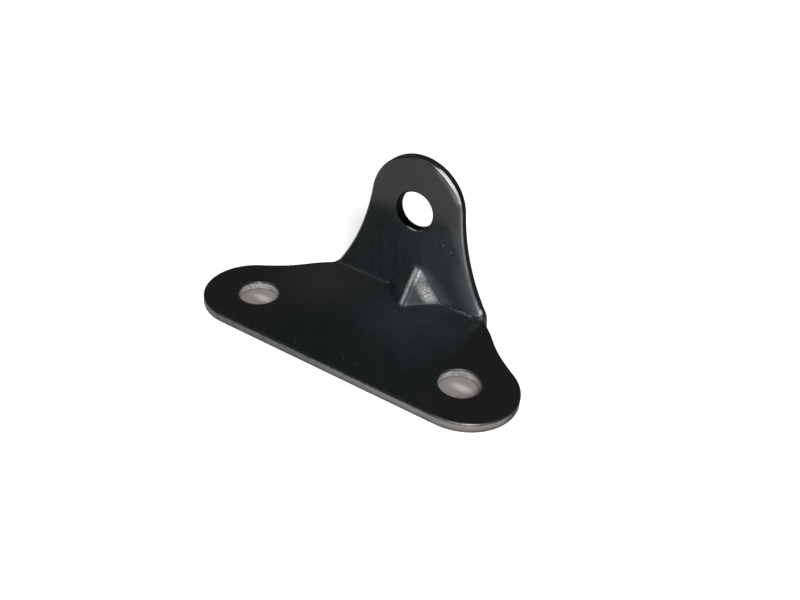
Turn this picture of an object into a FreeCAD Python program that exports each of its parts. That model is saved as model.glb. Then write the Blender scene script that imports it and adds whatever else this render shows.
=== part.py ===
import FreeCAD, Part
import math
import os

import Sketcher

# Stamped sheet-metal bracket, one piece. A flat base with two fixing holes is folded up
# into a single rounded ear with one hole. The blank has three round lobes, joined by a
# straight front edge and by one hollow arc on each flank. That arc runs through the fold
# without a break, so the width over the fold follows the unrolled blank. A triangular
# stiffening rib is pressed into the middle of the fold from the back.
#
# Millimetres. Origin: midway between the two base holes, on the underside.
# +X runs along the base, +Y from the front edge to the ear, +Z up.

DRIVING_SIZES = [
    ("sheet_thickness", 2.0),
    ("bend_inner_radius", 0.8),
    ("neutral_factor", 0.42),        # neutral line of the bend, as a share of the sheet
    ("base_hole_spacing", 50.0),
    ("base_hole_diameter", 8.5),
    ("base_lobe_spacing", 52.0),
    ("base_lobe_radius", 11.0),
    ("ear_distance", 21.0),          # from the line of the base holes to the ear's front face
    ("ear_lobe_radius", 11.0),
    ("ear_lobe_height", 21.0),       # centre of the ear's round top, above the base's top face
    ("ear_hole_height", 20.0),       # centre of the ear's hole, above the base's top face
    ("ear_hole_diameter", 8.5),
    ("flank_radius", 50.0),          # hollow arc between a base lobe and the ear's round top
    ("rib_height", 7.4),             # how far the rib's crest climbs the ear
    ("rib_reach", 6.2),              # how far the rib's crest runs out over the base
    ("rib_half_width", 6.9),         # measured along the inner corner of the fold
    ("rib_crest_radius", 2.0),
    ("rib_offset", 2.0),             # the pressed rib sits this far right of the middle
    ("rib_foot_radius", 1.0),
    ("hollow_crest_radius", 0.5),
    ("hollow_mouth_radius", 0.8),
    ("edge_roll_radius", 0.5),       # edges rounded by the die, on the side it enters
    ("hole_roll_radius", 0.3),
    ("trim_allowance", 3.0),         # waste outside the outline, cut away
]

# Worked out in the sheet from the driving sizes. The flank arc's centre is that of the
# circle touching a base lobe and the ear's round top in the unrolled blank.
DERIVED_SIZES = [
    ("fold_length", "pi / 2 * (bend_inner_radius + neutral_factor * sheet_thickness)"),
    ("fold_start", "ear_distance - bend_inner_radius"),
    ("fold_level", "sheet_thickness + bend_inner_radius"),
    ("unrolled_shift", "fold_length - 2 * bend_inner_radius"),
    ("blank_reach", "ear_distance + unrolled_shift + ear_lobe_height"),
    ("lobe_half_spacing", "base_lobe_spacing / 2"),
    ("hole_half_spacing", "base_hole_spacing / 2"),
    ("lobe_distance", "sqrt(lobe_half_spacing ^ 2 + blank_reach ^ 2)"),
    ("flank_along", "((base_lobe_radius + flank_radius) ^ 2 - (ear_lobe_radius + flank_radius) ^ 2"
                    " + lobe_distance ^ 2) / (2 * lobe_distance)"),
    ("flank_across", "sqrt((base_lobe_radius + flank_radius) ^ 2 - flank_along ^ 2)"),
    ("flank_centre_x", "lobe_half_spacing - flank_along * lobe_half_spacing / lobe_distance"
                       " + flank_across * blank_reach / lobe_distance"),
    ("flank_centre_y", "flank_along * blank_reach / lobe_distance"
                       " + flank_across * lobe_half_spacing / lobe_distance"),
    ("flank_centre_level", "flank_centre_y - ear_distance - unrolled_shift + sheet_thickness"),
    ("ear_lobe_level", "sheet_thickness + ear_lobe_height"),
    ("ear_hole_level", "sheet_thickness + ear_hole_height"),
    ("waste_side", "lobe_half_spacing + base_lobe_radius + trim_allowance"),
    ("waste_length", "2 * waste_side"),
    ("waste_front", "base_lobe_radius + trim_allowance"),
    ("waste_top", "ear_lobe_level + ear_lobe_radius + trim_allowance"),
    ("section_inner", "bend_inner_radius / 2"),
    ("section_outer", "bend_inner_radius + sheet_thickness + trim_allowance"),
    ("rib_rise", "rib_height * rib_reach / sqrt(rib_height ^ 2 + rib_reach ^ 2)"),
    ("rib_slope", "atan(rib_height / rib_reach)"),
    ("rib_round_level", "rib_rise - rib_crest_radius"),
    ("rib_wall_angle", "atan(rib_round_level / rib_half_width)"
                       " + asin(rib_crest_radius / sqrt(rib_round_level ^ 2 + rib_half_width ^ 2))"),
    ("rib_root", "2 * sheet_thickness"),
    ("rib_root_half_width", "rib_half_width + rib_root / tan(rib_wall_angle)"),
    ("hollow_half_width", "rib_half_width - sheet_thickness / sin(rib_wall_angle)"),
    ("hollow_root_half_width", "hollow_half_width + rib_root / tan(rib_wall_angle)"),
    ("hollow_round_level", "(hollow_half_width * sin(rib_wall_angle) - hollow_crest_radius)"
                           " / cos(rib_wall_angle)"),
    ("rib_bar_length", "4 * (rib_height + rib_reach)"),
    ("skin_back", "ear_distance + sheet_thickness / 2"),
    ("skin_level", "sheet_thickness / 2"),
]

NODE = "bracket"
TOUCH = 0.001       # points this close count as touching
FOLD_ANGLES = [0, 22.5, 45, 67.5, 90]

# Places on a line or arc, and a sketch's own axes, by number
START, END, CENTRE = range(1, 4)
X_AXIS, Y_AXIS = range(-1, -3, -1)
ORIGIN = (X_AXIS, START)


def make_sheet(doc):
    sheet = doc.addObject("Spreadsheet::Sheet", "sizes")
    contents = [(alias, str(value)) for alias, value in DRIVING_SIZES]
    contents += [(alias, "=" + formula) for alias, formula in DERIVED_SIZES]
    for row, (alias, text) in enumerate(contents, start=1):
        sheet.set(f"A{row}", alias)
        sheet.set(f"B{row}", text)
        sheet.setAlias(f"B{row}", alias)
    doc.recompute()
    return sheet


def number(sheet, alias):
    value = sheet.get(alias)
    return float(getattr(value, "Value", value))


def origin_plane(body, role):
    return next(item for item in body.Origin.OriginFeatures if item.Role == role)


def new_sketch(body, name, role):
    sketch = body.newObject("Sketcher::SketchObject", name)
    sketch.AttachmentSupport = [(origin_plane(body, role), "")]
    sketch.MapMode = "FlatFace"
    return sketch


def add_line(sketch, start, end):
    first = FreeCAD.Vector(*start, 0)
    second = FreeCAD.Vector(*end, 0)
    return sketch.addGeometry(Part.LineSegment(first, second), False)


def add_arc(sketch, centre, radius, start, end):
    """Arc about centre, anticlockwise from the start point's direction to the end point's."""
    circle = Part.Circle(FreeCAD.Vector(*centre, 0), FreeCAD.Vector(0, 0, 1), radius)
    first = math.atan2(start[1] - centre[1], start[0] - centre[0])
    last = math.atan2(end[1] - centre[1], end[0] - centre[0])
    if last < first:
        last += 2 * math.pi
    return sketch.addGeometry(Part.ArcOfCircle(circle, first, last), False)


def add_path(sketch, points):
    """Joined straight lines through the points."""
    lines = [add_line(sketch, start, end) for start, end in zip(points, points[1:])]
    for first, second in zip(lines, lines[1:]):
        constrain(sketch, "Coincident", first, END, second, START)
    return lines


def constrain(sketch, kind, *places):
    sketch.addConstraint(Sketcher.Constraint(kind, *places))


def dimension(sketch, sheet, alias, kind, *places):
    """A named dimension tied to the cell of the same name."""
    constraint = Sketcher.Constraint(kind, *places, number(sheet, alias))
    index = sketch.addConstraint(constraint)
    sketch.renameConstraint(index, alias)
    sketch.setExpression("Constraints." + alias, "sizes." + alias)


def add_feature(body, kind, name, sketch):
    feature = body.newObject(kind, name)
    feature.Profile = sketch
    sketch.Visibility = False
    return feature


def cut_through(body, name, sketch):
    """Cuts the sketch right through, to both sides of its plane."""
    pocket = add_feature(body, "PartDesign::Pocket", name, sketch)
    pocket.Type = "ThroughAll"
    pocket.SideType = "Symmetric"
    return pocket


def add_rib_bar(body, sheet):
    """A bar with a wedge section and rounded crest, leaning across the fold's inner corner."""
    bar = add_feature(body, "PartDesign::Pad", "rib_bar", wedge_sketch(
        body, sheet, "rib_section", "rib_round_level", "rib_crest_radius", "rib_root_half_width"))
    bar.SideType = "Symmetric"
    bar.setExpression("Length", "sizes.rib_bar_length")
    return bar


def wedge_sketch(body, sheet, name, round_level, round_radius, root_half_width):
    """Wedge section square to the rib's crest line.

    The sketch's origin lies on the inner corner of the fold, with its Y towards the crest.
    """
    sketch = new_sketch(body, name, "XY_Plane")
    turn = FreeCAD.Rotation(FreeCAD.Vector(1, 0, 0), 90 + number(sheet, "rib_slope"))
    sketch.AttachmentOffset = FreeCAD.Placement(FreeCAD.Vector(), turn)
    sketch.setExpression("AttachmentOffset.Base.x", "sizes.rib_offset")
    sketch.setExpression("AttachmentOffset.Base.y", "sizes.ear_distance")
    sketch.setExpression("AttachmentOffset.Base.z", "sizes.sheet_thickness")
    sketch.setExpression("AttachmentOffset.Rotation.Angle", "90 deg + sizes.rib_slope")

    wall_angle = math.radians(number(sheet, "rib_wall_angle"))
    radius = number(sheet, round_radius)
    centre = (0, number(sheet, round_level))
    touch = (radius * math.sin(wall_angle), centre[1] + radius * math.cos(wall_angle))
    root = (number(sheet, root_half_width), -number(sheet, "rib_root"))

    crest = add_arc(sketch, centre, radius, touch, (-touch[0], touch[1]))
    left, bottom, right = add_path(
        sketch, [(-touch[0], touch[1]), (-root[0], root[1]), root, touch])
    constrain(sketch, "Tangent", right, END, crest, START)
    constrain(sketch, "Tangent", crest, END, left, START)
    constrain(sketch, "Symmetric", bottom, START, bottom, END, Y_AXIS)
    constrain(sketch, "PointOnObject", crest, CENTRE, Y_AXIS)
    dimension(sketch, sheet, round_level, "DistanceY", *ORIGIN, crest, CENTRE)
    dimension(sketch, sheet, round_radius, "Radius", crest)
    dimension(sketch, sheet, "rib_root", "DistanceY", bottom, END, *ORIGIN)
    dimension(sketch, sheet, root_half_width, "DistanceX", *ORIGIN, bottom, END)
    return sketch


def trim_rib_bar(body, sheet):
    """Ends the bar inside the sheet's thickness, on the base and on the ear."""
    sketch = new_sketch(body, "rib_trim_section", "YZ_Plane")
    reach = number(sheet, "rib_bar_length")
    back = number(sheet, "skin_back")
    level = number(sheet, "skin_level")
    points = [(-reach, level), (back, level), (back, reach), (reach, reach),
              (reach, -reach), (-reach, -reach), (-reach, level)]
    base_cut, ear_cut, top, side, bottom, front = add_path(sketch, points)
    constrain(sketch, "Coincident", front, END, base_cut, START)
    constrain(sketch, "Horizontal", base_cut)
    constrain(sketch, "Horizontal", top)
    constrain(sketch, "Vertical", ear_cut)
    constrain(sketch, "Vertical", front)
    dimension(sketch, sheet, "skin_level", "DistanceY", *ORIGIN, base_cut, END)
    dimension(sketch, sheet, "skin_back", "DistanceX", *ORIGIN, base_cut, END)
    dimension(sketch, sheet, "rib_bar_length", "DistanceX", *ORIGIN, side, START)
    constrain(sketch, "Equal", side, bottom)
    constrain(sketch, "Symmetric", side, END, top, END, X_AXIS)
    constrain(sketch, "Symmetric", bottom, START, bottom, END, Y_AXIS)
    return cut_through(body, "rib_trim", sketch)


def add_folded_sheet(body, sheet):
    """The folded strip, wider and longer than the outline, which is cut from it later."""
    sketch = new_sketch(body, "fold_section", "YZ_Plane")
    thickness = number(sheet, "sheet_thickness")
    face = number(sheet, "ear_distance")
    back = face + thickness
    front = -number(sheet, "waste_front")
    top = number(sheet, "waste_top")
    start = number(sheet, "fold_start")
    level = number(sheet, "fold_level")
    inner = number(sheet, "bend_inner_radius")

    outer_bend = add_arc(sketch, (start, level), inner + thickness, (start, 0), (back, level))
    ear_back, ear_top, ear_front = add_path(
        sketch, [(back, level), (back, top), (face, top), (face, level)])
    inner_bend = add_arc(sketch, (start, level), inner, (start, thickness), (face, level))
    base_top, base_front, base_bottom = add_path(
        sketch, [(start, thickness), (front, thickness), (front, 0), (start, 0)])
    constrain(sketch, "Tangent", base_bottom, END, outer_bend, START)
    constrain(sketch, "Tangent", outer_bend, END, ear_back, START)
    constrain(sketch, "Tangent", ear_front, END, inner_bend, END)
    constrain(sketch, "Tangent", inner_bend, START, base_top, START)
    constrain(sketch, "Coincident", inner_bend, CENTRE, outer_bend, CENTRE)
    for line in (base_top, base_bottom, ear_top):
        constrain(sketch, "Horizontal", line)
    for line in (base_front, ear_front, ear_back):
        constrain(sketch, "Vertical", line)
    constrain(sketch, "PointOnObject", base_bottom, START, X_AXIS)
    dimension(sketch, sheet, "sheet_thickness", "DistanceY", base_bottom, START, base_top, END)
    dimension(sketch, sheet, "bend_inner_radius", "Radius", inner_bend)
    dimension(sketch, sheet, "waste_front", "DistanceX", base_bottom, START, *ORIGIN)
    dimension(sketch, sheet, "ear_distance", "DistanceX", *ORIGIN, ear_front, END)
    dimension(sketch, sheet, "waste_top", "DistanceY", *ORIGIN, ear_top, END)
    strip = add_feature(body, "PartDesign::Pad", "folded_strip", sketch)
    strip.SideType = "Symmetric"
    strip.setExpression("Length", "sizes.waste_length")
    return strip


def half_width(sheet, blank_y):
    """Half the blank's width at a distance along the unrolled blank."""
    drop = number(sheet, "flank_centre_y") - blank_y
    return number(sheet, "flank_centre_x") - math.sqrt(number(sheet, "flank_radius") ** 2 - drop ** 2)


def toward(start, end, distance):
    """The point at a distance from start, in the direction of end."""
    span = math.hypot(end[0] - start[0], end[1] - start[1])
    return tuple(a + (b - a) * distance / span for a, b in zip(start, end))


def cut_base_outline(body, sheet):
    """Waste to the right of the base: straight front edge, round lobe, hollow flank."""
    sketch = new_sketch(body, "base_outline", "XY_Plane")
    lobe_centre = (number(sheet, "lobe_half_spacing"), 0)
    lobe_radius = number(sheet, "base_lobe_radius")
    flank_centre = (number(sheet, "flank_centre_x"), number(sheet, "flank_centre_y"))
    start = number(sheet, "fold_start")
    side = number(sheet, "waste_side")
    front = -number(sheet, "waste_front")
    lobe_front = (lobe_centre[0], -lobe_radius)
    touch = toward(lobe_centre, flank_centre, lobe_radius)
    fold_edge = (half_width(sheet, start), start)

    lobe = add_arc(sketch, lobe_centre, lobe_radius, lobe_front, touch)
    flank = add_arc(sketch, flank_centre, number(sheet, "flank_radius"), fold_edge, touch)
    fold_line, outside, ahead, middle, front_edge = add_path(
        sketch, [fold_edge, (side, start), (side, front), (0, front), (0, -lobe_radius), lobe_front])
    constrain(sketch, "Tangent", front_edge, END, lobe, START)
    constrain(sketch, "Tangent", lobe, END, flank, END)
    constrain(sketch, "Coincident", flank, START, fold_line, START)
    for line in (fold_line, ahead, front_edge):
        constrain(sketch, "Horizontal", line)
    constrain(sketch, "Vertical", outside)
    constrain(sketch, "PointOnObject", lobe, CENTRE, X_AXIS)
    constrain(sketch, "PointOnObject", middle, START, Y_AXIS)
    constrain(sketch, "PointOnObject", middle, END, Y_AXIS)
    dimension(sketch, sheet, "lobe_half_spacing", "DistanceX", *ORIGIN, lobe, CENTRE)
    dimension(sketch, sheet, "base_lobe_radius", "Radius", lobe)
    dimension(sketch, sheet, "flank_radius", "Radius", flank)
    dimension(sketch, sheet, "flank_centre_y", "DistanceY", *ORIGIN, flank, CENTRE)
    dimension(sketch, sheet, "fold_start", "DistanceY", *ORIGIN, fold_line, END)
    dimension(sketch, sheet, "waste_side", "DistanceX", *ORIGIN, outside, END)
    dimension(sketch, sheet, "waste_front", "DistanceY", middle, START, *ORIGIN)
    return cut_through(body, "base_waste", sketch)


def cut_ear_outline(body, sheet):
    """Waste to the right of the ear: hollow flank and round top."""
    sketch = new_sketch(body, "ear_outline", "XZ_Plane")
    lobe_centre = (0, number(sheet, "ear_lobe_level"))
    lobe_radius = number(sheet, "ear_lobe_radius")
    flank_centre = (number(sheet, "flank_centre_x"), number(sheet, "flank_centre_level"))
    start = number(sheet, "fold_level")
    side = number(sheet, "waste_side")
    above = number(sheet, "waste_top")
    lobe_top = (0, lobe_centre[1] + lobe_radius)
    touch = toward(lobe_centre, flank_centre, lobe_radius)
    blank_y = number(sheet, "fold_start") + number(sheet, "fold_length")
    fold_edge = (half_width(sheet, blank_y), start)

    lobe = add_arc(sketch, lobe_centre, lobe_radius, touch, lobe_top)
    flank = add_arc(sketch, flank_centre, number(sheet, "flank_radius"), touch, fold_edge)
    middle, over, outside, fold_line = add_path(
        sketch, [lobe_top, (0, above), (side, above), (side, start), fold_edge])
    constrain(sketch, "Coincident", lobe, END, middle, START)
    constrain(sketch, "Tangent", lobe, START, flank, START)
    constrain(sketch, "Coincident", flank, END, fold_line, END)
    constrain(sketch, "Horizontal", over)
    constrain(sketch, "Horizontal", fold_line)
    constrain(sketch, "Vertical", outside)
    constrain(sketch, "PointOnObject", lobe, CENTRE, Y_AXIS)
    constrain(sketch, "PointOnObject", middle, START, Y_AXIS)
    constrain(sketch, "PointOnObject", middle, END, Y_AXIS)
    dimension(sketch, sheet, "ear_lobe_level", "DistanceY", *ORIGIN, lobe, CENTRE)
    dimension(sketch, sheet, "ear_lobe_radius", "Radius", lobe)
    dimension(sketch, sheet, "flank_radius", "Radius", flank)
    dimension(sketch, sheet, "flank_centre_level", "DistanceY", *ORIGIN, flank, CENTRE)
    dimension(sketch, sheet, "fold_level", "DistanceY", *ORIGIN, fold_line, START)
    dimension(sketch, sheet, "waste_side", "DistanceX", *ORIGIN, outside, END)
    dimension(sketch, sheet, "waste_top", "DistanceY", *ORIGIN, middle, END)
    return cut_through(body, "ear_waste", sketch)


def fold_section(body, sheet, index, angle):
    """Waste beside the fold at one angle round it, in the plane through the bend's axis."""
    sketch = new_sketch(body, f"fold_waste_section_{index}", "XY_Plane")
    turn = FreeCAD.Rotation(FreeCAD.Vector(1, 0, 0), angle - 90)
    sketch.AttachmentOffset = FreeCAD.Placement(FreeCAD.Vector(), turn)
    sketch.setExpression("AttachmentOffset.Base.y", "sizes.fold_start")
    sketch.setExpression("AttachmentOffset.Base.z", "sizes.fold_level")

    share = angle / 90
    blank_y = number(sheet, "fold_start") + share * number(sheet, "fold_length")
    edge = half_width(sheet, blank_y)
    side = number(sheet, "waste_side")
    inner = number(sheet, "section_inner")
    outer = number(sheet, "section_outer")
    near, cut, far, outside = add_path(
        sketch, [(side, inner), (edge, inner), (edge, outer), (side, outer), (side, inner)])
    constrain(sketch, "Coincident", outside, END, near, START)
    constrain(sketch, "Horizontal", near)
    constrain(sketch, "Horizontal", far)
    constrain(sketch, "Vertical", cut)
    constrain(sketch, "Vertical", outside)
    dimension(sketch, sheet, "waste_side", "DistanceX", *ORIGIN, outside, END)
    dimension(sketch, sheet, "section_inner", "DistanceY", *ORIGIN, near, END)
    dimension(sketch, sheet, "section_outer", "DistanceY", *ORIGIN, far, END)
    edge_index = sketch.addConstraint(
        Sketcher.Constraint("DistanceX", *ORIGIN, cut, END, edge))
    sketch.renameConstraint(edge_index, "half_width")
    sketch.setExpression("Constraints.half_width", (
        "sizes.flank_centre_x - sqrt(sizes.flank_radius ^ 2 - (sizes.flank_centre_y"
        f" - sizes.fold_start - {share} * sizes.fold_length) ^ 2)"))
    sketch.Visibility = False
    return sketch


def cut_fold_flank(body, sheet):
    """Carries the hollow flank round the fold, square to the sheet all the way."""
    first, *others = [fold_section(body, sheet, index, angle)
                      for index, angle in enumerate(FOLD_ANGLES)]
    loft = add_feature(body, "PartDesign::SubtractiveLoft", "fold_waste", first)
    loft.Sections = [(sketch, [""]) for sketch in others]
    return loft


def mirror_flanks(body, cuts):
    mirrored = body.newObject("PartDesign::Mirrored", "left_flank")
    mirrored.Originals = cuts
    mirrored.MirrorPlane = (origin_plane(body, "YZ_Plane"), [""])
    body.Tip = mirrored
    return mirrored


def cut_rib_hollow(body, sheet):
    """The dent behind the rib, one sheet thickness inside the rib's walls."""
    return cut_through(body, "rib_hollow", wedge_sketch(
        body, sheet, "hollow_section", "hollow_round_level", "hollow_crest_radius",
        "hollow_root_half_width"))


def cut_base_holes(body, sheet):
    sketch = new_sketch(body, "base_hole_centres", "XY_Plane")
    radius = number(sheet, "base_hole_diameter") / 2
    spacing = number(sheet, "hole_half_spacing")
    circles = [sketch.addGeometry(Part.Circle(FreeCAD.Vector(x, 0, 0), FreeCAD.Vector(0, 0, 1), radius))
               for x in (-spacing, spacing)]
    left, right = circles
    constrain(sketch, "Equal", left, right)
    constrain(sketch, "Symmetric", left, CENTRE, right, CENTRE, Y_AXIS)
    constrain(sketch, "PointOnObject", right, CENTRE, X_AXIS)
    dimension(sketch, sheet, "hole_half_spacing", "DistanceX", *ORIGIN, right, CENTRE)
    dimension(sketch, sheet, "base_hole_diameter", "Diameter", right)
    return cut_through(body, "base_holes", sketch)


def cut_ear_hole(body, sheet):
    sketch = new_sketch(body, "ear_hole_centre", "XZ_Plane")
    centre = FreeCAD.Vector(0, number(sheet, "ear_hole_level"), 0)
    radius = number(sheet, "ear_hole_diameter") / 2
    circle = sketch.addGeometry(Part.Circle(centre, FreeCAD.Vector(0, 0, 1), radius))
    constrain(sketch, "PointOnObject", circle, CENTRE, Y_AXIS)
    dimension(sketch, sheet, "ear_hole_level", "DistanceY", *ORIGIN, circle, CENTRE)
    dimension(sketch, sheet, "ear_hole_diameter", "Diameter", circle)
    return cut_through(body, "ear_hole", sketch)


def on_skin(sheet, point, depth):
    """True on the folded sheet's inner side (depth 0) or its outer side (depth the thickness)."""
    start = number(sheet, "fold_start")
    level = number(sheet, "fold_level")
    if point.y <= start:
        return abs(point.z - number(sheet, "sheet_thickness") + depth) < TOUCH
    if point.z >= level:
        return abs(point.y - number(sheet, "ear_distance") - depth) < TOUCH
    bend_radius = number(sheet, "bend_inner_radius") + depth
    return abs(math.hypot(point.y - start, point.z - level) - bend_radius) < TOUCH


def middle_of(face):
    first_u, last_u, first_v, last_v = face.ParameterRange
    return face.valueAt((first_u + last_u) / 2, (first_v + last_v) / 2)


def rim_edges(sheet, shape, depth):
    """Names and shapes of the edges where one side of the sheet ends."""
    found = {}
    for index, edge in enumerate(shape.Edges, start=1):
        faces = shape.ancestorsOfType(edge, Part.Face)
        if sum(on_skin(sheet, middle_of(face), depth) for face in faces) == 1:
            found[f"Edge{index}"] = edge
    return found


def near_rib(sheet, edge):
    point = edge.CenterOfMass
    aside = abs(point.x - number(sheet, "rib_offset"))
    ahead = number(sheet, "ear_distance") - point.y
    above = point.z - number(sheet, "sheet_thickness")
    return (aside < number(sheet, "rib_half_width") and ahead < number(sheet, "rib_reach")
            and above < number(sheet, "rib_height"))


def round_edges(body, name, base, edge_names, radius):
    fillet = body.newObject("PartDesign::Fillet", name)
    fillet.Base = (base, edge_names)
    fillet.setExpression("Radius", "sizes." + radius)
    body.Document.recompute()
    return fillet


def round_rib_foot(body, sheet, base):
    """Inner corners where the rib's walls meet the base, the fold and the ear."""
    names = [name for name, edge in rim_edges(sheet, base.Shape, 0).items() if near_rib(sheet, edge)]
    return round_edges(body, "rib_foot", base, names, "rib_foot_radius")


def round_hollow_mouth(body, sheet, base):
    edges = rim_edges(sheet, base.Shape, number(sheet, "sheet_thickness"))
    names = [name for name, edge in edges.items() if near_rib(sheet, edge)]
    return round_edges(body, "hollow_mouth", base, names, "hollow_mouth_radius")


def roll_outline(body, sheet, base):
    """The die rounds the outline on the side it enters, all the way round the blank."""
    names = [name for name, edge in rim_edges(sheet, base.Shape, 0).items() if not near_rib(sheet, edge)]
    return round_edges(body, "outline_roll", base, names, "edge_roll_radius")


def roll_holes(body, sheet, base):
    names = [name for name, edge in rim_edges(sheet, base.Shape, 0).items() if edge.isClosed()]
    return round_edges(body, "hole_roll", base, names, "hole_roll_radius")


def build_bracket(doc, sheet):
    body = doc.addObject("PartDesign::Body", NODE)
    body.Label = NODE
    add_rib_bar(body, sheet)
    trim_rib_bar(body, sheet)
    add_folded_sheet(body, sheet)
    right_cuts = [
        cut_base_outline(body, sheet),
        cut_ear_outline(body, sheet),
        cut_fold_flank(body, sheet),
    ]
    doc.recompute()
    blank = mirror_flanks(body, right_cuts)
    doc.recompute()
    round_rib_foot(body, sheet, blank)
    hollowed = cut_rib_hollow(body, sheet)
    doc.recompute()
    smoothed = round_hollow_mouth(body, sheet, hollowed)
    roll_outline(body, sheet, smoothed)
    cut_base_holes(body, sheet)
    pierced = cut_ear_hole(body, sheet)
    doc.recompute()
    roll_holes(body, sheet, pierced)
    return body


def check(doc, body):
    for item in doc.Objects:
        if "Invalid" in item.State or "Error" in item.State:
            raise RuntimeError(f"{item.Name} failed: {item.State}")
    cuts = [item for item in body.Group if item.TypeId == "PartDesign::Pocket"]
    for cut in cuts:
        if cut.Shape.Volume >= cut.BaseFeature.Shape.Volume:
            raise RuntimeError(f"{cut.Name} cut nothing")
    shape = body.Shape
    if shape.isNull() or not shape.isValid() or len(shape.Solids) != 1:
        raise RuntimeError(f"{body.Label} is not one valid solid")


def main():
    doc = FreeCAD.newDocument("stamped_bracket")
    sheet = make_sheet(doc)
    bracket = build_bracket(doc, sheet)
    doc.recompute()
    check(doc, bracket)
    os.makedirs("parts", exist_ok=True)
    bracket.Shape.exportStep(os.path.join("parts", NODE + ".step"))
    print(NODE, "volume", round(bracket.Shape.Volume, 1), "mm3", bracket.Shape.optimalBoundingBox())


main()
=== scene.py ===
import math

import bpy
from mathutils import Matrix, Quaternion, Vector

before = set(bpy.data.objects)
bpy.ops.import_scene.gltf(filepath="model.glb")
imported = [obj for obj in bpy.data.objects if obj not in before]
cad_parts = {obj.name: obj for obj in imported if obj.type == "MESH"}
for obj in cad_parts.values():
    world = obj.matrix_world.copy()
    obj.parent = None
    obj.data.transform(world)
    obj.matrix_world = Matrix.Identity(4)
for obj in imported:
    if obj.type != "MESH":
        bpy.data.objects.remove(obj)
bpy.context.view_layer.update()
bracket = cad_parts["bracket"]

MM = 0.001

# Sizes of the bracket, in millimetres. The base lies flat, the ear stands at its back and
# looks forward. x runs to the right, y to the back and z up.
SHEET = 2.0
ROLL = 0.5              # round of the edges of the front faces
EAR_FACE = 21.0         # y of the ear's front face
FOLD_TOP = 2.8          # z where the fold's inner round ends
HOLE_RADIUS = 4.25
HOLE_X = 25.0           # the base holes, at y = 0
EAR_HOLE_Z = 22.0
EAR_RADIUS = 11.0       # the ear's round top
EAR_CENTRE_Z = 23.0
FLANK_RADIUS = 50.0     # the hollow right side of the ear, below its round top
FLANK_X = 60.5632
FLANK_Z = 30.2871
FLANK_TOP_Z = 24.3
DRAWN_BAND = 3.0        # width of the drawn-back band along the ear's right edge
DRAWN_SLOPE = 0.45      # its slope at the edge
RIB_X = 2.0
RIB_HEIGHT = 7.4
RIB_REACH = 6.9         # from the rib's middle to its foot, across the ear

# Colours of the coating, and of the painted sheen and painted shade laid over it. A pair is the
# dark and the light end of an uneven colour.
COAT = (0.0048, 0.0070, 0.0074), (0.0072, 0.0100, 0.0110)
# The next three are painted sheen, standing in for reflections on the ear and the base
PAINTED_SHEEN = (0.0215, 0.0272, 0.0310)
EDGE_SHEEN = (0.053, 0.060, 0.064)
LEFT_SHEEN = (0.022, 0.0218, 0.0208)
BRUSHED = (0.034, 0.038, 0.043)
LEFT_END = (0.0082, 0.0083, 0.0064)
RIGHT_END = (0.0075, 0.0080, 0.0074)
PALE_GRAIN = (0.024, 0.026, 0.027)
# Painted sheen beside the rib's lit right wall
BESIDE_RIB_SHEEN = (0.050, 0.055, 0.058)
THIN_COAT = (0.019, 0.023, 0.024), (0.033, 0.037, 0.039)
BLACK = (0.001, 0.001, 0.001)
COOL_GLOSS = (0.84, 0.96, 1.0)
PLAIN_GLOSS = (0.95, 1.0, 0.92)

# Colours of the cut and rubbed metal, of the painted light and painted contact shadow on the cut
# faces, and of the painted highlights on the ear's edge
CUT_EDGE = (0.026, 0.025, 0.023), (0.075, 0.073, 0.070)
LIT_CUT_EDGE_RIGHT = (0.105, 0.102, 0.097)
LIT_CUT_LOBE = (0.132, 0.123, 0.118)
CONTACT_SHADOW = (0.026, 0.019, 0.015)
HOLE_WALL = (0.16, 0.156, 0.150), (0.33, 0.322, 0.315)
HOLE_FOOT_SHADOW = (0.05, 0.047, 0.043)
# The next two are painted highlights on the ear's right edge
EDGE_HIGHLIGHT = (0.30, 0.30, 0.30), (0.50, 0.50, 0.50)
CORNER_HIGHLIGHT = (0.75, 0.75, 0.75)
STEEL = (0.45, 0.45, 0.45)

# Colours of the floor, with the painted shade under the holes and a lighter painted spot in it
PALE_FLOOR = (0.8, 0.8, 0.8)
SHADE_SPOT = (0.36, 0.345, 0.336)
SHADE = (0.190, 0.174, 0.168)
WHITE = (1.0, 1.0, 1.0)

# The dust that shows in the photo: two specks on the ear and four near the front edge
DUST_PLACES = [(9.6, 21.0, 15.5), (10.2, 21.0, 9.0), (-17.1, -10.2, 2.0),
               (-15.2, -10.4, 2.0), (2.7, -7.4, 2.0), (5.8, -7.4, 2.0)]


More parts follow.
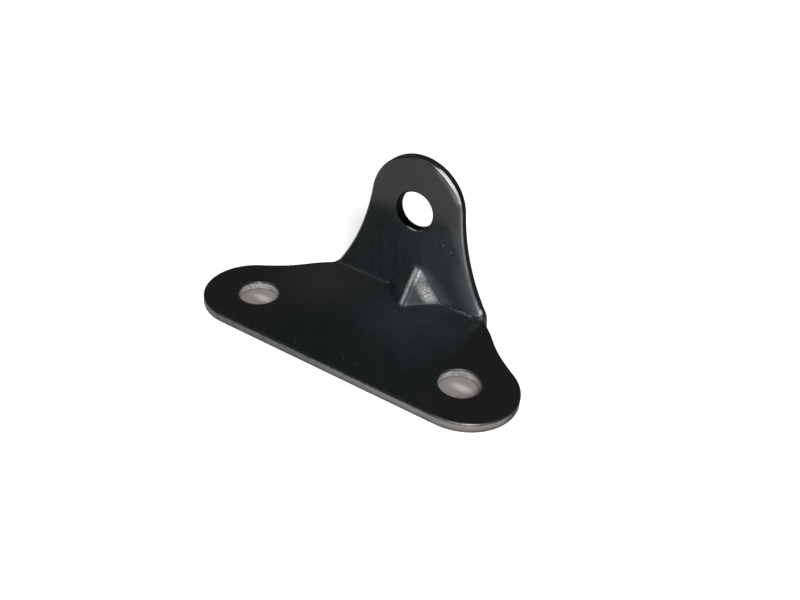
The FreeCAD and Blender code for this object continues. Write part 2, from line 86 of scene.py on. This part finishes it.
class Nodes:
    """The nodes of a material or of the world.

    A value is a number, a colour or a node's output. A mask is a value that is 1 in some
    place, 0 outside it, and fades between the two.
    """

    def __init__(self, owner):
        owner.use_nodes = True
        self.tree = owner.node_tree
        self.tree.nodes.clear()

    def add(self, kind, inputs=(), **settings):
        node = self.tree.nodes.new(kind)
        for key, value in settings.items():
            setattr(node, key, value)
        for key, value in dict(inputs).items():
            socket = node.inputs[key]
            if isinstance(value, bpy.types.NodeSocket):
                self.tree.links.new(value, socket)
            elif socket.type == "RGBA":
                socket.default_value = (*value, 1.0)
            else:
                socket.default_value = value
        return node

    def maths(self, operation, *values):
        return self.add("ShaderNodeMath", enumerate(values), operation=operation).outputs[0]

    def chain(self, operation, values):
        """The first two values worked together, the result with the third, and so on."""
        result = values[0]
        for value in values[1:]:
            result = self.maths(operation, result, value)
        return result

    def plus(self, *values):
        return self.chain("ADD", values)

    def minus(self, first, second):
        return self.maths("SUBTRACT", first, second)

    def times(self, *values):
        return self.chain("MULTIPLY", values)

    def both(self, *masks):
        return self.chain("MULTIPLY", masks)

    def either(self, *masks):
        return self.chain("MAXIMUM", masks)

    def absolute(self, value):
        return self.maths("ABSOLUTE", value)

    def distance(self, first, second):
        return self.maths("SQRT", self.plus(self.times(first, first), self.times(second, second)))

    def ramp(self, value, low, high, start=0.0, end=1.0):
        """Smooth step that turns low into start and high into end."""
        node = self.add("ShaderNodeMapRange", {
            "Value": value, "From Min": low, "From Max": high, "To Min": start, "To Max": end,
        }, interpolation_type="SMOOTHSTEP")
        return node.outputs[0]

    def fall(self, value, low, high):
        return self.ramp(value, low, high, 1.0, 0.0)

    def between(self, value, low, high, soft):
        """1 from low to high, fading to 0 over soft beyond either end."""
        return self.both(self.ramp(value, low - soft, low), self.fall(value, high, high + soft))

    def mix(self, share, first, second):
        node = self.add("ShaderNodeMix", {0: share, 6: first, 7: second}, data_type="RGBA")
        return node.outputs[2]

    def lay_over(self, colour, *layers):
        """The colour with each layer, a mask and its colour, laid over it in turn."""
        for mask, over in layers:
            colour = self.mix(mask, colour, over)
        return colour

    def noise(self, place, scale, detail, roughness):
        node = self.add("ShaderNodeTexNoise", {
            "Vector": place, "Scale": scale, "Detail": detail, "Roughness": roughness})
        return node.outputs["Fac"]

    def split(self, vector):
        return self.add("ShaderNodeSeparateXYZ", {"Vector": vector}).outputs

    def millimetres(self):
        """The place on the object, in millimetres."""
        metres = self.add("ShaderNodeTexCoord").outputs["Object"]
        scaled = self.add("ShaderNodeVectorMath", {0: metres, "Scale": 1.0 / MM},
                          operation="SCALE")
        return scaled.outputs[0]


class CoatedSteel(Nodes):
    """The surface of the bracket: black coating, bare cut faces, and the places where the
    coating is thin or rubbed off, with painted sheen, painted highlights and painted shade
    laid over it. Each place is found by where it lies, in millimetres, and by the way it faces."""

    def __init__(self):
        self.material = bpy.data.materials.new("black_coated_steel")
        super().__init__(self.material)
        self.place = self.millimetres()
        self.x, self.y, self.z = self.split(self.place)
        normal = self.add("ShaderNodeNewGeometry").outputs["Normal"]
        self.normal_x, self.normal_y, self.normal_z = self.split(normal)
        self.facing_front = self.times(self.normal_y, -1.0)

        # Unevenness, from broad to fine
        self.clouds = self.noise(self.place, 0.12, 3.0, 0.55)
        self.mottle = self.noise(self.place, 0.70, 3.0, 0.60)
        self.grain = self.noise(self.place, 2.6, 2.0, 0.60)
        self.flecks = self.noise(self.place, 5.2, 3.0, 0.75)

        self.find_regions()
        self.find_cut_faces()
        self.find_ear_edge()
        self.find_rib()
        self.join_shaders()

    def ball(self, centre, inner, outer):
        """1 within inner of a point, fading to 0 at outer."""
        away = self.add("ShaderNodeVectorMath", {0: self.place, 1: centre},
                        operation="DISTANCE")
        return self.fall(away.outputs["Value"], inner, outer)

    def drawn_out(self, height):
        """The place with its height made small, which draws a noise out into upright lines."""
        return self.add("ShaderNodeMapping", {
            "Vector": self.place, "Scale": (1.0, 1.0, height)}).outputs[0]

    # Places

    def find_regions(self):
        x, y, z = self.x, self.y, self.z
        self.on_base = self.fall(z, 2.5, 3.0)
        self.on_ear = self.ramp(z, 2.7, 3.2)
        self.over_fold = self.ramp(z, 2.2, 2.8)
        self.left_end = self.both(self.on_base, self.fall(x, -24.0, -8.0))
        self.right_end = self.both(self.on_base, self.ramp(x, 14.0, 24.0))
        self.base_roll = self.between(z, SHEET - ROLL, SHEET, 0.02)

        # The fold's inner round, left and right of the rib
        self.fold = self.both(
            self.ramp(z, SHEET + 0.02, SHEET + 0.1),
            self.fall(y, EAR_FACE - 0.1, EAR_FACE - 0.02),
            self.ramp(self.absolute(self.minus(x, RIB_X)), 7.0, 7.6))

        # The holes, with the distance from the centre of each
        self.from_base_hole = self.distance(self.minus(self.absolute(x), HOLE_X), y)
        self.from_ear_hole = self.distance(x, self.minus(z, EAR_HOLE_Z))
        self.in_base_hole = self.fall(self.from_base_hole, HOLE_RADIUS + 0.6, HOLE_RADIUS + 1.2)
        self.in_ear_hole = self.both(
            self.on_ear, self.fall(self.from_ear_hole, HOLE_RADIUS + 0.2, HOLE_RADIUS + 0.4))

    def find_cut_faces(self):
        """Where the sheet was cut through. The faces that look forward, the straight front edge,
        the front of the lobes and the back of the two base holes, are nearly bare, and their
        light grey also stands in for painted light from the front; cut faces turned aside keep
        the dark coating."""
        ragged_z = self.minus(self.z, self.times(self.minus(self.grain, 0.5), 0.5))
        base_cut = self.both(self.fall(ragged_z, SHEET - 0.9 * ROLL, SHEET - 0.4 * ROLL),
                             self.fall(self.absolute(self.normal_z), 0.35, 0.60))
        ear_cut = self.both(self.ramp(self.y, EAR_FACE + 0.8 * ROLL, EAR_FACE + ROLL),
                            self.fall(self.absolute(self.normal_y), 0.25, 0.45))
        forward = self.plus(self.facing_front, self.ramp(self.x, 29.0, 34.0, 0.0, 0.35))
        self.cut = self.either(base_cut, ear_cut)
        # Cut faces painted light grey where they face forward: partly bare metal, partly painted
        # light
        self.bare_and_lit_cut = self.both(
            base_cut, self.either(self.in_base_hole, self.ramp(forward, 0.35, 0.8)))

    def find_ear_edge(self):
        """The ear's right edge: the distance from it across the face, where it is worn, and where
        highlights are painted on it.
        """
        x, y, z = self.x, self.y, self.z
        from_top = self.minus(EAR_RADIUS, self.distance(x, self.minus(z, EAR_CENTRE_Z)))
        from_flank = self.minus(
            self.distance(self.minus(x, FLANK_X), self.minus(z, FLANK_Z)), FLANK_RADIUS)
        above_flank = self.maths("GREATER_THAN", z, FLANK_TOP_Z)
        self.from_edge = self.add("ShaderNodeMix", {0: above_flank, 2: from_flank, 3: from_top},
                                  data_type="FLOAT").outputs[0]
        self.right_side = self.ramp(x, 2.5, 5.5)
        # Where the right edge is worn to steel, and where its painted highlights go
        self.worn_and_highlit_side = self.both(self.right_side, self.either(
            self.between(z, 28.0, 32.5, 2.8), self.ramp(z, 3.6, 8.0, 0.9, 0.35)))

        # Painted highlights past the round edge: grey at the top right, and a near-white spot at
        # the ear's lower right corner
        self.corner_highlight = self.both(
            self.ball((19.0, 21.0, 4.3), 0.6, 1.5), self.ramp(z, 2.8, 3.2))
        self.over_edge_highlight = self.either(
            self.both(self.between(y, EAR_FACE + 0.2, EAR_FACE + 0.5, 0.1),
                      self.ramp(z, 20.0, 24.0), self.ramp(self.worn_and_highlit_side, 0.5, 0.9)),
            self.corner_highlight)

    def find_rib(self):
        self.aside = self.minus(self.x, RIB_X)
        self.off_crest = self.absolute(self.aside)
        self.rise = self.minus(self.z, SHEET)
        self.depth = self.minus(EAR_FACE, self.y)
        corner = EAR_FACE + SHEET
        self.on_rib = self.both(
            self.fall(self.off_crest, 6.6, 7.2),
            self.ramp(self.plus(self.y, self.z), corner - 6.0, corner - 5.0),
            self.fall(self.y, EAR_FACE - 0.15, EAR_FACE - 0.05),
            self.ramp(self.rise, 0.1, 0.5),
            self.fall(self.rise, 0.85 * RIB_HEIGHT, RIB_HEIGHT))
        self.right_wall = self.both(self.on_rib, self.ramp(self.normal_x, 0.10, 0.35))
        self.left_wall = self.both(
            self.fall(self.normal_x, -0.25, -0.06),
            self.between(self.aside, -7.2, -1.0, 0.6),
            self.ramp(self.facing_front, 0.1, 0.3),
            self.ramp(self.z, 2.0, 2.2),
            self.fall(self.rise, 7.0, 7.6))

    # Colours

    def coating(self):
        """Cool black, with a painted grey sheen, standing in for reflections, on the right of the
        ear, by the rib's foot, towards the left lobe and along the ear's lower right edge;
        painted shade on the base and the top of the ear; faint brushed lines on the ear, and fine
        grain."""
        x, z = self.x, self.z
        on_face = self.ramp(self.facing_front, 0.3, 0.8)
        streaks = self.noise(self.drawn_out(0.12), 0.9, 3.0, 0.60)
        # Painted sheen on the ear's face, strongest to the right and low down
        ear_sheen = self.both(
            self.on_ear, on_face, self.ramp(streaks, 0.3, 0.7, 0.7, 1.0),
            self.ramp(x, -8.0, 14.0), self.ramp(z, 17.0, 24.0, 1.0, 0.3))
        # Painted sheen on the base by the rib's foot
        base_sheen = self.both(
            self.on_base, self.ball((7.0, 13.0, SHEET), 1.0, 19.0),
            self.ramp(self.clouds, 0.3, 0.6, 0.5, 0.8))
        # Painted sheen along the ear's lower right edge
        edge_sheen = self.both(
            self.over_fold, on_face, self.fall(self.from_edge, 0.5, 5.0),
            self.right_side, self.fall(z, 8.0, 16.0))
        # Painted sheen on the base towards the left lobe
        left_sheen = self.both(self.on_base, self.ball((-17.0, 14.0, SHEET), 1.0, 17.0))
        lines = self.noise(self.drawn_out(0.06), 1.5, 3.0, 0.65)
        brushed = self.both(
            self.on_ear, self.ramp(lines, 0.42, 0.68), self.ramp(z, 12.0, 20.0, 1.0, 0.2))
        # Painted shade: the base a little darker, and the ear darker towards its top
        painted_shade = self.either(
            self.times(self.on_base, 0.28), self.ramp(z, 18.0, 22.0, 0.0, 0.55))

        colour = self.lay_over(
            self.mix(self.ramp(self.clouds, 0.3, 0.7), *COAT),
            (self.either(ear_sheen, base_sheen), PAINTED_SHEEN),
            (edge_sheen, EDGE_SHEEN),
            (self.times(brushed, 0.13), BRUSHED),
            (self.left_end, LEFT_END),
            (self.right_end, RIGHT_END),
            (self.times(left_sheen, 0.8), LEFT_SHEEN),
            (painted_shade, BLACK))
        pale_grain = self.mix(0.2, colour, PALE_GRAIN)
        dark_grain = self.mix(0.3, colour, BLACK)
        return self.mix(self.ramp(self.grain, 0.25, 0.75), dark_grain, pale_grain)

    def cut_metal(self, uneven):
        """The straight edge is painted lighter to the right and at the right lobe's front, as
        painted light, and ends below in a thin brown band of painted contact shadow. The walls of
        the base holes are lighter, and darken at their foot in painted shadow."""
        ragged_z = self.minus(self.z, self.times(self.minus(self.mottle, 0.5), 0.8))
        edge = self.lay_over(
            self.mix(uneven, *CUT_EDGE),
            # Painted light: lighter to the right, and most at the right lobe's front
            (self.ramp(self.x, -20.0, 30.0), LIT_CUT_EDGE_RIGHT),
            (self.ramp(self.x, 24.0, 32.0), LIT_CUT_LOBE),
            # Painted contact shadow at the foot of the edge
            (self.ramp(ragged_z, 0.0, 1.1, 0.85, 0.0), CONTACT_SHADOW))
        hole_wall = self.lay_over(
            self.mix(uneven, *HOLE_WALL),
            # Painted shadow at the foot of the hole walls
            (self.ramp(self.z, 0.15, 0.5, 0.65, 0.0), HOLE_FOOT_SHADOW))
        return self.mix(self.in_base_hole, edge, hole_wall)

    def colour(self):
        uneven = self.ramp(self.mottle, 0.3, 0.7)
        spread = self.plus(self.times(self.aside, 1.0 / RIB_REACH),
                           self.times(self.rise, 1.0 / RIB_HEIGHT))
        # Painted sheen on the ear beside the rib's lit right wall
        rib_sheen = self.both(
            self.fall(spread, 1.0, 1.7), self.ramp(self.aside, 0.0, 2.0), self.over_fold,
            self.ramp(self.rise, 5.5, 8.5, 1.0, 0.2), self.ramp(self.facing_front, 0.9, 0.99))
        thin_coat = self.both(self.on_rib, self.ramp(self.normal_x, -0.05, 0.2))
        return self.lay_over(
            self.coating(),
            (self.bare_and_lit_cut, self.cut_metal(uneven)),
            # Painted highlights on the ear's right edge
            (self.over_edge_highlight, self.mix(uneven, *EDGE_HIGHLIGHT)),
            (self.corner_highlight, CORNER_HIGHLIGHT),
            (self.in_ear_hole, BLACK),
            (rib_sheen, BESIDE_RIB_SHEEN),
            (thin_coat, self.mix(self.ramp(self.rise, 0.4, 1.6), *THIN_COAT)))

    # Gloss

    def roughness_and_shine(self):
        """The coating is glossier on the base than on the ear, dull on the cut faces, and
        matt where the sheet was bent, cut or rolled over."""
        base_edge = self.both(self.base_roll, self.fall(self.normal_z, 0.97, 0.999))
        hole_edge = self.both(
            self.on_ear, self.fall(self.facing_front, 0.97, 0.999),
            self.fall(self.from_ear_hole, HOLE_RADIUS + 0.4, HOLE_RADIUS + 0.6))
        right_cut = self.both(self.cut, self.ramp(self.normal_x, 0.4, 0.9))
        matt = self.either(right_cut, self.fold, base_edge, hole_edge, self.in_ear_hole)
        roughness = self.plus(
            self.ramp(self.mottle, 0.2, 0.8, 0.150, 0.170),
            self.times(self.cut, 0.40),
            self.times(self.either(self.fold, base_edge), 0.30),
            self.times(self.right_wall, 0.22))
        shine = self.minus(self.ramp(self.on_ear, 0.0, 1.0, 0.45, 0.35), self.times(matt, 0.34))
        rib_walls = self.either(self.right_wall, self.left_wall)
        return roughness, self.minus(shine, self.times(rib_walls, 0.32))

    def gloss_tint(self):
        """Cool on most of the part, plain on the top of the ear and on the lobes."""
        ear_top = self.ramp(self.z, 16.5, 19.5)
        return self.mix(self.either(self.left_end, self.right_end, ear_top),
                        COOL_GLOSS, PLAIN_GLOSS)

    def relief(self):
        """Fine grain, over a broad band in which the die drew the ear's right edge back."""
        into_band = self.maths("MAXIMUM", self.minus(DRAWN_BAND, self.from_edge), 0.0)
        drop = self.times(into_band, into_band, -0.5 * DRAWN_SLOPE / DRAWN_BAND)
        on_right = self.both(
            self.on_ear, self.ramp(self.x, 1.0, 7.0), self.ramp(self.facing_front, 0.1, 0.3))
        drawn_back = self.add("ShaderNodeBump", {
            "Strength": 1.0, "Distance": MM, "Height": self.times(drop, on_right)})
        return self.add("ShaderNodeBump", {
            "Strength": 0.15, "Distance": 0.02 * MM, "Height": self.grain,
            "Normal": drawn_back.outputs["Normal"]}).outputs["Normal"]

    # Bare metal

    def worn_ear_edge(self):
        """Thin coating on the ear's round edge, most of all at the right, and beside it."""
        edge = self.both(
            self.between(self.y, EAR_FACE, EAR_FACE + ROLL, 0.02),
            self.between(self.facing_front, 0.2, 0.75, 0.2),
            self.ramp(self.z, FOLD_TOP, FOLD_TOP + 0.2),
            self.ramp(self.from_ear_hole, HOLE_RADIUS + 0.6, HOLE_RADIUS + 1.2),
            self.ramp(self.mottle, 0.25, 0.6, 0.6, 1.0),
            self.ramp(self.worn_and_highlit_side, 0.0, 1.0, 0.05, 0.95),
            self.minus(1.0, self.over_edge_highlight))
        face = self.both(
            self.on_ear, self.right_side,
            self.fall(self.y, EAR_FACE + 0.01, EAR_FACE + 0.05),
            self.fall(self.from_edge, 0.3, 1.6),
            self.ramp(self.worn_and_highlit_side, 0.35, 1.0, 0.15, 1.0))
        return self.either(edge, self.times(face, 0.22))

    def worn_rib(self):
        """The rib's stretched crest and the lower part of its right wall are rubbed to
        bright flecks, with the coating left dull between them."""
        crest = self.both(
            self.on_rib, self.between(self.normal_x, -0.28, 0.06, 0.15),
            self.fall(self.off_crest, 1.3, 2.0),
            self.ramp(self.flecks, 0.42, 0.56, 0.1, 1.0),
            self.ramp(self.rise, 0.5, 6.0, 0.7, 1.0))
        patch = self.both(
            self.right_wall,
            self.ramp(self.depth, 0.0, 1.1, 0.15, 1.0), self.fall(self.depth, 1.6, 3.0),
            self.ramp(self.rise, 0.3, 1.3, 0.25, 1.0),
            self.ramp(self.rise, 2.2, 4.4, 1.0, 0.34))
        apex = self.both(
            self.on_rib, self.ramp(self.normal_x, -0.35, -0.2),
            self.ramp(self.rise, 4.0, 5.5), self.ramp(self.depth, 0.0, 0.6, 0.3, 1.0))
        wall = self.both(self.either(patch, self.times(apex, 0.5)),
                         self.ramp(self.flecks, 0.44, 0.60))
        return self.either(self.times(crest, 0.90), self.times(wall, 0.62))

    def worn_fold(self):
        line = self.both(self.fold, self.ramp(self.x, 9.0, 15.0, 0.15, 1.0),
                         self.ramp(self.mottle, 0.40, 0.65),
                         self.ramp(self.flecks, 0.42, 0.58, 0.15, 1.0))
        return self.times(line, 0.28)

    def worn_base(self):
        """Thin coating on the rims of the base holes, and on the right lobe's front round."""
        rim = self.both(
            self.between(self.from_base_hole, HOLE_RADIUS - 0.1, HOLE_RADIUS + 0.35, 0.1),
            self.ramp(self.z, 1.5, 1.7), self.on_base,
            self.ramp(self.mottle, 0.3, 0.6, 0.3, 1.0))
        lobe = self.both(
            self.base_roll, self.between(self.x, 28.0, 33.0, 4.0),
            self.ramp(self.normal_z, 0.35, 0.55), self.fall(self.normal_z, 0.85, 0.95),
            self.ramp(self.facing_front, 0.1, 0.4),
            self.ramp(self.mottle, 0.3, 0.6, 0.5, 1.0))
        return self.either(self.times(rim, 0.16), self.times(lobe, 0.18))

    def worn_ear_hole(self):
        """A chip of bare metal low on the left of the ear's hole, and a thin rim beside it."""
        chip = self.both(
            self.ball((-0.3, 21.1, 17.7), 0.5, 1.5),
            self.between(self.from_ear_hole, HOLE_RADIUS + 0.05, HOLE_RADIUS + 0.4, 0.05),
            self.ramp(self.flecks, 0.46, 0.54))
        rim = self.both(
            self.between(self.from_ear_hole, HOLE_RADIUS + 0.1, HOLE_RADIUS + 0.35, 0.1),
            self.fall(self.z, 18.0, 18.5), self.between(self.x, 0.0, 2.5, 1.0), self.on_ear)
        return self.either(self.times(chip, 0.9), self.times(rim, 0.12))

    def dust(self):
        """A few specks all over the part, and those of the photo."""
        dots = self.add("ShaderNodeTexVoronoi", {
            "Vector": self.place, "Scale": 0.26, "Randomness": 1.0})
        chance = self.add("ShaderNodeSeparateColor", {0: dots.outputs["Color"]}).outputs[0]
        specks = self.both(self.fall(dots.outputs["Distance"], 0.035, 0.055),
                           self.ramp(chance, 0.90, 0.91))
        specks = self.either(specks, *(self.ball(centre, 0.08, 0.26) for centre in DUST_PLACES))
        return self.times(specks, 0.5)

    def join_shaders(self):
        relief = self.relief()
        roughness, shine = self.roughness_and_shine()
        coated = self.add("ShaderNodeBsdfPrincipled", {
            "Base Color": self.colour(), "Roughness": roughness, "Specular IOR Level": shine,
            "Specular Tint": self.gloss_tint(), "Normal": relief})
        steel = self.add("ShaderNodeBsdfPrincipled", {
            "Base Color": STEEL, "Metallic": 1.0, "Roughness": 0.42, "Normal": relief})
        bare = self.either(self.worn_ear_edge(), self.worn_rib(), self.worn_fold(),
                           self.worn_base(), self.worn_ear_hole(), self.dust())
        surface = self.add("ShaderNodeMixShader", {
            0: bare, 1: coated.outputs[0], 2: steel.outputs[0]})
        self.add("ShaderNodeOutputMaterial", {"Surface": surface.outputs[0]})


# The studio

def pale_floor():
    """Pale and plain, with the shade that lies under the bracket, seen through its holes.
    It shows as white to the camera and to glossy metal, and keeps the bracket's shadow."""
    material = bpy.data.materials.new("pale_floor")
    nodes = Nodes(material)
    x, y, z = nodes.split(nodes.millimetres())
    beside = nodes.minus(nodes.absolute(x), HOLE_X)
    open_floor = nodes.ramp(nodes.distance(beside, y), 5.5, 6.5)
    # A lighter painted spot in the painted shade under each hole
    from_spot = nodes.distance(nodes.times(beside, 0.45), nodes.minus(y, 1.2))
    shade = nodes.mix(nodes.ramp(from_spot, 0.1, 1.6), SHADE_SPOT, SHADE)
    diffuse = nodes.add("ShaderNodeBsdfDiffuse", {
        "Color": nodes.mix(open_floor, shade, PALE_FLOOR)})
    path = nodes.add("ShaderNodeLightPath").outputs
    seen = nodes.either(path["Is Camera Ray"], path["Is Glossy Ray"],
                        path["Is Transmission Ray"])
    away = nodes.ramp(nodes.distance(x, y), 100.0, 220.0, 0.35, 1.0)
    glow = nodes.add("ShaderNodeEmission", {
        "Color": WHITE, "Strength": nodes.both(seen, open_floor, away)})
    surface = nodes.add("ShaderNodeAddShader", {0: diffuse.outputs[0], 1: glow.outputs[0]})
    nodes.add("ShaderNodeOutputMaterial", {"Surface": surface.outputs[0]})
    return material


def add_floor():
    half = 3.0
    mesh = bpy.data.meshes.new("floor")
    mesh.from_pydata([(-half, -half, 0), (half, -half, 0), (half, half, 0), (-half, half, 0)],
                     [], [(0, 1, 2, 3)])
    mesh.materials.append(pale_floor())
    floor = bpy.data.objects.new("floor", mesh)
    floor.location.z = -0.02 * MM
    bpy.context.scene.collection.objects.link(floor)


def set_world():
    """Dim all round, and white where the camera sees it."""
    world = bpy.data.worlds.new("studio")
    bpy.context.scene.world = world
    nodes = Nodes(world)
    path = nodes.add("ShaderNodeLightPath").outputs
    dim = nodes.add("ShaderNodeBackground", {"Color": WHITE, "Strength": 0.06})
    white = nodes.add("ShaderNodeBackground", {"Color": WHITE, "Strength": 1.0})
    surface = nodes.add("ShaderNodeMixShader", {
        0: path["Is Camera Ray"], 1: dim.outputs[0], 2: white.outputs[0]})
    nodes.add("ShaderNodeOutputWorld", {"Surface": surface.outputs[0]})


def direction(azimuth, elevation):
    """Towards a lamp or the camera, with both angles in radians. Azimuth 0 is in front of
    the bracket (-Y), and a quarter turn is at its right (+X)."""
    return Vector((math.sin(azimuth) * math.cos(elevation),
                   -math.cos(azimuth) * math.cos(elevation), math.sin(elevation)))


def add_softbox(name, azimuth, elevation, distance, size, watts):
    """A round lamp aimed at the bracket, with its angles in degrees and sizes in metres."""
    middle = Vector((0.0, 0.005, 0.010))
    light = bpy.data.lights.new(name, "AREA")
    light.shape = "DISK"
    light.size = size
    light.energy = watts
    lamp = bpy.data.objects.new(name, light)
    away = direction(math.radians(azimuth), math.radians(elevation))
    lamp.location = middle + away * distance
    lamp.rotation_euler = away.to_track_quat("Z", "Y").to_euler()
    bpy.context.scene.collection.objects.link(lamp)


def add_camera():
    """The camera of the photograph, 800 pixels wide."""
    azimuth, elevation, roll = 0.5127, 0.5966, 0.0897
    target = Vector((-0.388, 18.814, 0.441)) * MM
    distance = 183.77 * MM
    focal_pixels = 825.56
    camera = bpy.data.cameras.new("camera")
    camera.sensor_width = 36.0
    camera.lens = focal_pixels * camera.sensor_width / 800.0
    camera.clip_start = 0.005
    camera.clip_end = 50.0
    back = direction(azimuth, elevation)
    holder = bpy.data.objects.new("camera", camera)
    holder.location = target + back * distance
    holder.rotation_mode = "QUATERNION"
    holder.rotation_quaternion = back.to_track_quat("Z", "Y") @ Quaternion((0, 0, 1), roll)
    bpy.context.scene.collection.objects.link(holder)
    bpy.context.scene.camera = holder


coated_steel = CoatedSteel().material
for slot in bracket.material_slots:
    slot.material = coated_steel

add_floor()
add_softbox("key", azimuth=42, elevation=38, distance=0.9, size=0.36, watts=12.0)
add_softbox("crest", azimuth=-31, elevation=37, distance=0.9, size=0.55, watts=1.2)
add_softbox("fill", azimuth=-10, elevation=70, distance=1.0, size=0.90, watts=2.4)
set_world()
add_camera()

bpy.context.scene.view_settings.view_transform = "Standard"
